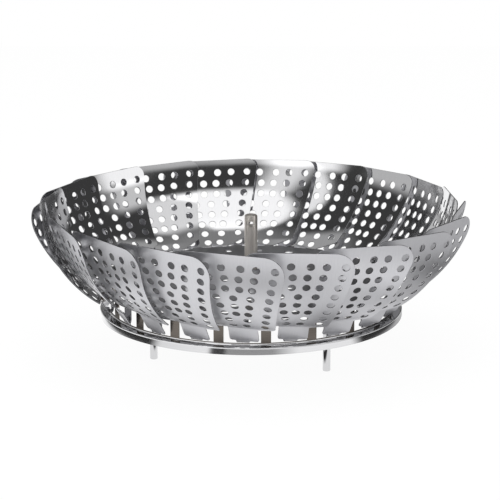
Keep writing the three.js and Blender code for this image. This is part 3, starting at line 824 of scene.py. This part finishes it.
print("nut faces:", len(nut.faces))
settle(nut, "post_nut_blank", "base", ["post_nut"], [blank_rolled])

# %% [markdown]
# ## Legs, brackets, pins and rivets
# Each leg is a short chromed rod on a cross pin. The pin lies in the ears of a small channel, and a domed
# rivet fastens the channel under the plate. The channel could be three boxes joined, but its bends would be
# sharp. So it is folded from a flat strip, as the leaf is bent.

# %% Outlines of the leg, and of a pin with two heads
PIN_RADIUS, PIN_HEAD_RADIUS, PIN_HEAD_HEIGHT = 0.8, 1.5, 0.6
RIVET_HEAD_HEIGHT = 0.6
# Both ends of the leg are broken through three points, each so far in from the side and along from the end.
LEG_ROUND = ((0.4, 0.0), (0.12, 0.12), (0.0, 0.4))
leg_line = [(0.0, FOOT_LEVEL)]
leg_line += [(LEG_RADIUS - inwards, FOOT_LEVEL + along) for inwards, along in LEG_ROUND]
leg_line += [(LEG_RADIUS - inwards, LEG_TOP - along) for inwards, along in reversed(LEG_ROUND)]
leg_line += [(0.0, LEG_TOP)]


def headed_line(radius, head_radius, head_height, low, high):
    """Half the outline of a pin with a domed head at each end."""
    dome = [(head_radius * math.sin(math.radians(angle)), math.cos(math.radians(angle)) * head_height)
            for angle in (0, 20, 40, 60, 75, 90)]
    lower = [(out, low - rise) for out, rise in dome]
    upper = [(out, high + rise) for out, rise in reversed(dome)]
    return lower + [(radius, low), (radius, high)] + upper


print("a leg is", round(LEG_TOP - FOOT_LEVEL, 1), "mm long")

# %% The line that the bracket's strip is folded along
EAR_INNER = LEG_RADIUS + SEAT_GAP
EAR_OUTER = EAR_INNER + BRACKET_SHEET
EAR_RADIUS, FOLD_RADIUS = 2.2, 0.8
ear_middle = EAR_OUTER - BRACKET_SHEET / 2
web_height = BRACKET_TOP - BRACKET_SHEET / 2
ear_foot = PIN_HEIGHT - EAR_RADIUS
fold_line = soften([Vector((-ear_middle, ear_foot)), Vector((-ear_middle, web_height)),
                    Vector((ear_middle, web_height)), Vector((ear_middle, ear_foot))], FOLD_RADIUS)
fold_lengths = lengths_along(fold_line)
fold_ways = ways_along(fold_line)
STRIP = fold_lengths[-1]
print("bracket strip:", round(STRIP, 2), "by", BRACKET_LENGTH, "mm")

# %% The bracket: a flat strip, punched, thickened and folded into a channel
shoulder = EAR_RADIUS + (BRACKET_TOP - PIN_HEIGHT - FOLD_RADIUS)
half_long = BRACKET_LENGTH / 2
# The ear's two arcs stay a hair short of its middle, where they would otherwise meet.
ear_arc = EAR_RADIUS * 0.98


def bracket_blank():
    bm = bmesh.new()
    ear = [((half_long, shoulder), FOLD_RADIUS), ((EAR_RADIUS, 0), ear_arc),
           ((-EAR_RADIUS, 0), ear_arc), ((-half_long, shoulder), FOLD_RADIUS)]
    other = [((-across, STRIP - down), radius) for (across, down), radius in ear]
    round_corners(bm, ear + other)
    punch(bm, ((0, EAR_RADIUS, PIN_RADIUS + SEAT_GAP), (0, STRIP / 2, RIVET_RADIUS + SEAT_GAP),
               (0, STRIP - EAR_RADIUS, PIN_RADIUS + SEAT_GAP)), 20)
    cut_across(bm, fold_lengths[1:-1])
    thicken(bm, BRACKET_SHEET)
    return bm


def fold_bracket(bm):
    """Moves every point onto the fold line, and keeps its depth in the sheet."""
    for vert in bm.verts:
        i, t = step_at(fold_lengths, min(max(-vert.co.y, 0.0), STRIP))
        at = fold_line[i - 1].lerp(fold_line[i], t)
        way = fold_ways[i - 1].lerp(fold_ways[i], t).normalized()
        vert.co = Vector((vert.co.x, at.x - way.y * vert.co.z, at.y + way.x * vert.co.z))
    bmesh.ops.recalc_face_normals(bm, faces=bm.faces)
    return bm


print("the bracket's ears are", round(2 * EAR_INNER, 2), "mm apart")

# %% Set the three legs and what holds them in place
for number, angle in enumerate(leg_angles, start=1):
    at = (LEG_CIRCLE, 0, 0)
    pin_cutter = cross_rod(PIN_RADIUS + SEAT_GAP, LEG_RADIUS + CUTTER_PAST, PIN_HEIGHT, 20)
    leg = bored(turned(leg_line, 28), pin_cutter)
    pin = turned(headed_line(PIN_RADIUS, PIN_HEAD_RADIUS, PIN_HEAD_HEIGHT, -EAR_OUTER - SEAT_GAP,
                             EAR_OUTER + SEAT_GAP), 24)
    bmesh.ops.rotate(pin, verts=pin.verts, cent=(0, 0, 0), matrix=Matrix.Rotation(math.pi / 2, 3, "X"))
    bmesh.ops.translate(pin, verts=pin.verts, vec=(0, 0, PIN_HEIGHT))
    rivet = turned(headed_line(RIVET_RADIUS, EAR_INNER - SEAT_GAP, RIVET_HEAD_HEIGHT,
                               BRACKET_UNDERSIDE - SEAT_GAP, PAN_HEIGHT + SEAT_GAP), 24)
    for shape, node, make, body, slot, finish in (
            (leg, f"leg_{number}", "rod", f"leg_{number}", "post_steel", rod_chrome),
            (fold_bracket(bracket_blank()), f"leg_bracket_{number}", "channel", "base", "blank_steel",
             blank_rolled),
            (pin, f"leg_pin_{number}", "wire", "base", "wire_steel", wire_drawn),
            (rivet, f"bracket_rivet_{number}", "wire", "base", "wire_steel", wire_drawn)):
        settle(shape, f"{node}_{make}", body, [node], [finish], angle, at)
print("legs at", [round(math.degrees(angle), 1) for angle in leg_angles])

# %% [markdown]
# ## The studio
# Polished steel is a picture of its room, so the room is built for the reflections. It could be a picture of
# a studio wrapped round the scene, but plain shapes are easier to set: a white surround for the camera, a
# pale floor, and a dark dome with soft panels on it, which only mirrors see. Where each panel and each grey
# of the floor stands was worked out from what the steel shows there.

# %% The surround is white for the camera and for what metal mirrors, and softer as light
SURROUND_LIGHT = 0.55
world = bpy.data.worlds.new("studio_surround")
bpy.context.scene.world = world
world.use_nodes = True
world_tree = world.node_tree
world_tree.nodes.clear()
path = add_node(world_tree, "LightPath")
seen = add_node(world_tree, "Math", {
    0: path.outputs["Is Camera Ray"], 1: path.outputs["Is Glossy Ray"]}, operation="MAXIMUM")
seen_or_through = add_node(world_tree, "Math", {
    0: seen, 1: path.outputs["Is Transmission Ray"]}, operation="MAXIMUM")
as_light = add_node(world_tree, "Background", {"Color": linear("#FFFFFF"), "Strength": SURROUND_LIGHT})
as_seen = add_node(world_tree, "Background", {"Color": linear("#FFFFFF"), "Strength": 1.0})
surround = add_node(world_tree, "MixShader", {0: seen_or_through, 1: as_light, 2: as_seen})
add_node(world_tree, "OutputWorld", {"Surface": surround})
print("the surround lights the basket at", SURROUND_LIGHT, "of what it shows")

# %% [markdown]
# ### The floor
# The camera sees white paper with the basket's faint shadow. Mirrors see other greys there, which stand for
# the dark things of a real room. One grey all over would be simpler, but then the band and the legs would
# have no dark stripes. The greys are set in four rings: the legs mirror the innermost, the lower halves of
# the leaves the next, the band the third, and the upper halves of the leaves the outermost.

# %% Greys of the mirrored floor, by degrees from its front, positive to the right
LEGS_MIRROR = ((-64, "#E8E8E8"), (-60, "#303030"), (-52, "#303030"), (-48, "#E8E8E8"),
               (20, "#E8E8E8"), (25, "#303030"), (34, "#303030"), (39, "#E8E8E8"))
LOW_LEAVES_MIRROR = ((-90, "#FFFFFF"), (0, "#F0F0F0"), (35, "#C8C8C8"), (90, "#B0B0B0"))
BAND_MIRRORS = ((-115, "#F0F0F0"), (-105, "#303030"), (-60, "#303030"), (-53, "#F0F0F0"),
                (-24, "#FFFFFF"), (-21, "#404040"), (-15, "#404040"), (-13, "#9C9C9C"),
                (12, "#A0A0A0"), (26, "#FFFFFF"), (60, "#FFFFFF"), (68, "#303030"),
                (105, "#303030"), (115, "#D0D0D0"))
HIGH_LEAVES_MIRROR = ((-150, "#FFFFFF"), (-70, "#FFFFFF"), (-20, "#FFFFFF"), (12, "#FFFFFF"),
                      (35, "#D8D8D8"), (75, "#C8C8C8"), (140, "#C0C0C0"))
# Each ring starts to show at the first radius and fully shows at the second, in metres.
OUTER_RINGS = ((LOW_LEAVES_MIRROR, 0.075, 0.09), (BAND_MIRRORS, 0.113, 0.119),
               (HIGH_LEAVES_MIRROR, 0.15, 0.162))
print("rings:", 1 + len(OUTER_RINGS))

# %% The directions and distances of the floor's places
floor_paint = blank_material("floor_pale_paper")
floor_tree = floor_paint.node_tree
floor_place = object_place(floor_tree)
floor_xy = add_node(floor_tree, "SeparateXYZ", {0: floor_place})
forward = add_node(floor_tree, "Math", {0: floor_xy.outputs[1], 1: -1.0}, operation="MULTIPLY")
turned_by = add_node(floor_tree, "Math", {0: floor_xy.outputs[0], 1: forward}, operation="ARCTAN2")
sweep = add_node(floor_tree, "MapRange", {"Value": turned_by, "From Min": -math.pi, "From Max": math.pi})
reach = add_node(floor_tree, "VectorMath", {0: floor_place}, operation="LENGTH")


def shades_round(stops):
    """Greys set round the basket by the degrees from its front."""
    node = add_node(floor_tree, "ValToRGB", {0: sweep})
    ramp = node.color_ramp
    for degrees, shade in stops:
        ramp.elements.new((degrees + 180) / 360).color = linear(shade)
    ramp.elements[0].color = linear(stops[0][1])
    ramp.elements[-1].color = linear(stops[-1][1])
    return node


mirrored = shades_round(LEGS_MIRROR)
for stops, low, high in OUTER_RINGS:
    share = add_node(floor_tree, "MapRange", {
        "Value": reach.outputs["Value"], "From Min": low, "From Max": high})
    mirrored = add_node(floor_tree, "Mix", {
        0: share, 6: mirrored, 7: shades_round(stops)}, data_type="RGBA").outputs[2]
print("nodes of the floor so far:", len(floor_tree.nodes))

# %% The floor is white paper for the camera, and its rings are for mirrors
PAPER_FIBRES = 900.0
MIRRORED_STRENGTH, PLAIN_WHITE = 1.2, 0.95
fibre = add_node(floor_tree, "TexNoise", {"Vector": floor_place, "Scale": PAPER_FIBRES, "Detail": 3.0})
paper = add_node(floor_tree, "Mix", {
    0: fibre, 6: linear("#F2F2F2"), 7: linear("#F8F8F8")}, data_type="RGBA")
matt = add_node(floor_tree, "BsdfDiffuse", {"Color": paper.outputs[2]})
rings = add_node(floor_tree, "Emission", {"Color": mirrored, "Strength": MIRRORED_STRENGTH})
white = add_node(floor_tree, "Emission", {"Color": linear("#FFFFFF"), "Strength": 1.0})
path = add_node(floor_tree, "LightPath")
whiteness = add_node(floor_tree, "Math", {0: path.outputs["Is Camera Ray"], 1: PLAIN_WHITE},
                     operation="MULTIPLY")
plain = add_node(floor_tree, "MixShader", {0: whiteness, 1: matt, 2: white})
surface = add_node(floor_tree, "MixShader", {0: path.outputs["Is Glossy Ray"], 1: plain, 2: rings})
add_node(floor_tree, "OutputMaterial", {"Surface": surface})
print("a fibre of the paper is about", round(1000 / PAPER_FIBRES, 1), "mm, coarser than real")

# %% Lay the floor
FLOOR_HALF = 0.9


def stage_object(bm, name, material):
    mesh = bpy.data.meshes.new(name)
    bm.to_mesh(mesh)
    bm.free()
    mesh.materials.append(material)
    return new_object(name, mesh)


floor_bm = bmesh.new()
bmesh.ops.create_grid(floor_bm, x_segments=4, y_segments=4, size=FLOOR_HALF)
floor = stage_object(floor_bm, "studio_floor", floor_paint)
print("floor:", 2 * FLOOR_HALF, "m wide")

# %% [markdown]
# ### The dome that mirrors see
# A leaf at the back mirrors what stands in front of the basket: a low panel shows along its rim, and a high
# one near the pan. The panels at the sides and behind show in the leaves at the left and right, and from
# above. Area lamps could stand there instead, but their edges would be hard, and they would also light the
# basket.

# %% The panels
ROOM_RADIUS, CLOTH = 2.4, 0.06
# Each panel has the azimuth and elevation of its middle, its half width and half height, how soft its edges
# are, all in degrees, then how far it leans for each degree up, and its brightness. Azimuth 0 is behind the
# camera, and 90 is to its right.
PANELS = (
    (-15, 58, 40, 20, 3, -0.9, 1.35),
    (46, 54, 20, 15, 4, 0.7, 0.95),
    (-47, 4, 20, 9, 3, 0.0, 1.3),
    (-34, 25, 5, 14, 3, 0.0, 1.0),
    (-67, 31, 4, 21, 2, -0.45, 1.15),
    (-57, 26, 5, 9, 4, 0.0, 0.4),
    (62, 7, 16, 12, 3, 0.0, 1.3),
    (66, 27, 13, 10, 4, 0.3, 0.75),
    (9, 5, 36, 8, 3, 0.0, 0.62),
    (0, 90, 180, 20, 8, 0.0, 0.24),
    (-165, 6, 30, 8, 6, 0.0, 0.6),
    (-108, 4, 32, 8, 4, 0.0, 0.6),
    (180, 58, 75, 14, 6, 0.0, 0.4),
)
print("panels:", len(PANELS))

# %% Paint the panels on dark cloth
room_paint = blank_material("studio_dark_cloth_with_panels")
room_tree = room_paint.node_tree
way = add_node(room_tree, "VectorMath", {0: object_place(room_tree)}, operation="NORMALIZE")
way_xyz = add_node(room_tree, "SeparateXYZ", {0: way})
back = add_node(room_tree, "Math", {0: way_xyz.outputs[1], 1: -1.0}, operation="MULTIPLY")
azimuth = add_node(room_tree, "Math", {0: way_xyz.outputs[0], 1: back}, operation="ARCTAN2")
elevation = add_node(room_tree, "Math", {0: way_xyz.outputs[2]}, operation="ARCSINE")
glow = add_node(room_tree, "Value")
glow.outputs[0].default_value = CLOTH
for *angles, lean, brightness in PANELS:
    middle, height, half_wide, half_high, soft = [math.radians(angle) for angle in angles]
    rise = add_node(room_tree, "Math", {0: elevation, 1: height}, operation="SUBTRACT")
    leaning = add_node(room_tree, "Math", {0: rise, 1: -lean, 2: azimuth}, operation="MULTIPLY_ADD")
    aside = add_node(room_tree, "Math", {0: leaning, 1: middle}, operation="SUBTRACT")
    off = add_node(room_tree, "Math", {0: aside, 1: math.pi, 2: -math.pi}, operation="WRAP")
    masks = []
    for distance, half in ((off, half_wide), (rise, half_high)):
        size = add_node(room_tree, "Math", {0: distance}, operation="ABSOLUTE")
        masks.append(add_node(room_tree, "MapRange", {
            "Value": size, "From Min": half - soft, "From Max": half + soft, "To Min": 1.0,
            "To Max": 0.0}, interpolation_type="SMOOTHSTEP"))
    inside = add_node(room_tree, "Math", {0: masks[0], 1: masks[1]}, operation="MULTIPLY")
    glow = add_node(room_tree, "Math", {0: inside, 1: brightness, 2: glow}, operation="MULTIPLY_ADD")
glowing = add_node(room_tree, "Emission", {"Color": linear("#FFFFFF"), "Strength": glow})
add_node(room_tree, "OutputMaterial", {"Surface": glowing})
print("nodes of the dome:", len(room_tree.nodes))

# %% Set the dome round the floor
room_bm = bmesh.new()
bmesh.ops.create_uvsphere(room_bm, u_segments=96, v_segments=48, radius=ROOM_RADIUS)
room_object = stage_object(room_bm, "studio_room", room_paint)
room_object.visible_camera = False
room_object.visible_diffuse = False
room_object.visible_shadow = False
room_object.visible_transmission = False
print("dome:", 2 * ROOM_RADIUS, "m wide")

# %% [markdown]
# ### The lamps
# Two large soft lamps light the floor and what is not a mirror. Small lamps would draw hard shadows, and any
# lamp would show in polished steel as a white spot, so these are hidden from it.

# %% Hang the lamps
AIM = Vector((0, 0, 0.04))


def soft_light(name, place, size, power):
    lamp = bpy.data.lights.new(name, "AREA")
    lamp.shape = "DISK"
    lamp.size = size
    lamp.energy = power
    holder = new_object(name, lamp)
    holder.location = place
    holder.rotation_euler = (AIM - Vector(place)).to_track_quat("-Z", "Y").to_euler()
    holder.visible_glossy = False


soft_light("overhead_softbox", (0.0, -0.1, 1.6), 1.3, 18.0)
soft_light("front_softbox", (-0.9, -1.3, 1.1), 0.8, 9.0)
print("lamps:", [lamp.name for lamp in bpy.data.lights])

# %% [markdown]
# ## The camera
# The camera looks along +Y from 14 degrees above, about a metre away, as the photograph was taken. It could
# be set by eye, but a wrong lens bends the ovals of the rim and the pan, so its lens, height and distance
# were fitted to the band, the windows and the leaf edges.

# %% Place the camera
ELEVATION, DISTANCE, LENS, SENSOR = math.radians(14.39), 1.00436, 156.61, 36.0
target = Vector((-0.00045, 0, 0.0482))
camera_data = bpy.data.cameras.new("photo_camera")
camera_data.lens = LENS
camera_data.sensor_width = SENSOR
camera = new_object("photo_camera", camera_data)
camera.location = target + Vector((0, -math.cos(ELEVATION), math.sin(ELEVATION))) * DISTANCE
camera.rotation_euler = (target - camera.location).to_track_quat("-Z", "Y").to_euler()
bpy.context.scene.camera = camera
bpy.context.scene.view_settings.view_transform = "Standard"
print("camera at", [round(value, 4) for value in camera.location])
